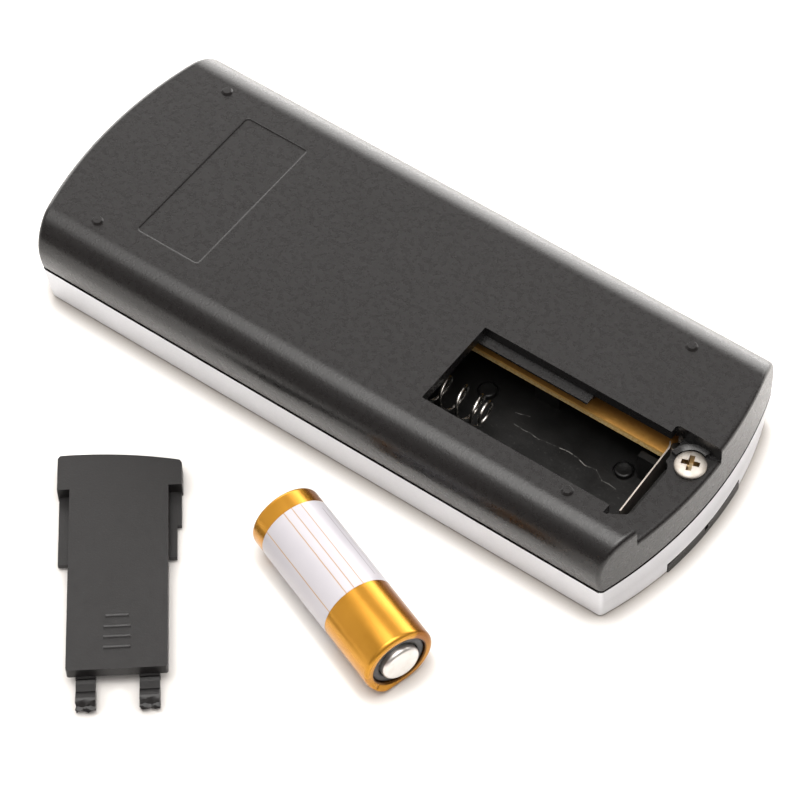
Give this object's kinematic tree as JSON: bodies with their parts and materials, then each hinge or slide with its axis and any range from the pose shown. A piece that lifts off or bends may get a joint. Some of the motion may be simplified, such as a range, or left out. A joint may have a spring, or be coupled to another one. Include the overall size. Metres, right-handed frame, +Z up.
{
  "type": "wireless flash trigger",
  "caption": "Pocket radio flash trigger, silver and black case face down, battery compartment open, battery and compartment door beside it.",
  "frame": {"origin": "on the surface the key face rests on, under the middle of the case", "axes": "+Z up out of the back, +X along the case towards the battery end, battery and door lie on the -Y side"},
  "size_m": [0.1004, 0.0909, 0.0158],
  "materials": {
    "cover_plastic": "fine spark-eroded texture, satin sheen",
    "silver_paint": "silver-grey paint on moulded plastic, satin",
    "panel_plastic": "smooth black panel",
    "board": "phenolic board, sheared edge",
    "red_key": "moulded key cap",
    "grey_key": "moulded key cap",
    "switch_metal": "tinned cover",
    "plunger_plastic": "moulded",
    "chip_plastic": "moulded epoxy",
    "ceramic_part": "fired ceramic",
    "can_metal": "drawn can",
    "blue_part": "moulded",
    "copper_wire": "enamelled wire",
    "lamp_red": "clear red",
    "window_clear": "clear",
    "spring_steel": "nickel-plated wire",
    "contact_metal": "nickel-plated strip",
    "screw_metal": "nickel plate",
    "gold_foil": "gold foil over steel",
    "label_paper": "printed film, bare",
    "cell_steel": "plated steel",
    "insulator_plastic": "moulded"
  },
  "bodies": {
    "root": {"rear_cover": "cover_plastic", "front_shell": "silver_paint", "face_panel": "panel_plastic", "circuit_board": "board", "tact_switches": "switch_metal", "encoder_chip": "chip_plastic", "resonator_can": "can_metal", "crystal": "can_metal", "transistors": "chip_plastic", "chip_resistors": "chip_plastic", "chip_capacitors": "ceramic_part", "reservoir_capacitor": "can_metal", "trimmer": "blue_part", "antenna_wire": "copper_wire", "indicator_led": "lamp_red", "indicator_window": "window_clear", "negative_spring": "spring_steel", "negative_contact": "contact_metal", "positive_contact": "contact_metal", "case_screw": "screw_metal", "board_screws": "screw_metal"},
    "trigger_key_unit": {"trigger_key": "red_key", "trigger_plunger": "plunger_plastic"},
    "channel_key_unit": {"channel_key": "grey_key", "channel_plunger": "plunger_plastic"},
    "group_key_unit": {"group_key": "grey_key", "group_plunger": "plunger_plastic"},
    "plus_key_unit": {"plus_key": "grey_key", "plus_plunger": "plunger_plastic"},
    "minus_key_unit": {"minus_key": "grey_key", "minus_plunger": "plunger_plastic"},
    "loose_door": {"battery_door": "cover_plastic"},
    "loose_battery": {"battery_jacket": "gold_foil", "battery_label": "label_paper", "battery_cells": "cell_steel", "battery_insulator": "insulator_plastic", "battery_positive_cap": "cell_steel", "battery_negative_end": "cell_steel"}
  },
  "joints": [
    {"name": "trigger_press", "type": "slide", "parent": "root", "child": "trigger_key_unit", "axis": [0, 0, 1], "range_m": [0, 0.0003], "stiffness_N_per_m": 500},
    {"name": "channel_press", "type": "slide", "parent": "root", "child": "channel_key_unit", "axis": [0, 0, 1], "range_m": [0, 0.0003], "stiffness_N_per_m": 500},
    {"name": "group_press", "type": "slide", "parent": "root", "child": "group_key_unit", "axis": [0, 0, 1], "range_m": [0, 0.0003], "stiffness_N_per_m": 500},
    {"name": "plus_press", "type": "slide", "parent": "root", "child": "plus_key_unit", "axis": [0, 0, 1], "range_m": [0, 0.0003], "stiffness_N_per_m": 500},
    {"name": "minus_press", "type": "slide", "parent": "root", "child": "minus_key_unit", "axis": [0, 0, 1], "range_m": [0, 0.0003], "stiffness_N_per_m": 500},
    {"name": "door_lift", "type": "slide", "parent": "root", "child": "loose_door", "axis": [0, 0, 1], "range_m": [0, 0.05]},
    {"name": "battery_lift", "type": "slide", "parent": "root", "child": "loose_battery", "axis": [0, 0, 1], "range_m": [0, 0.05]}
  ]
}
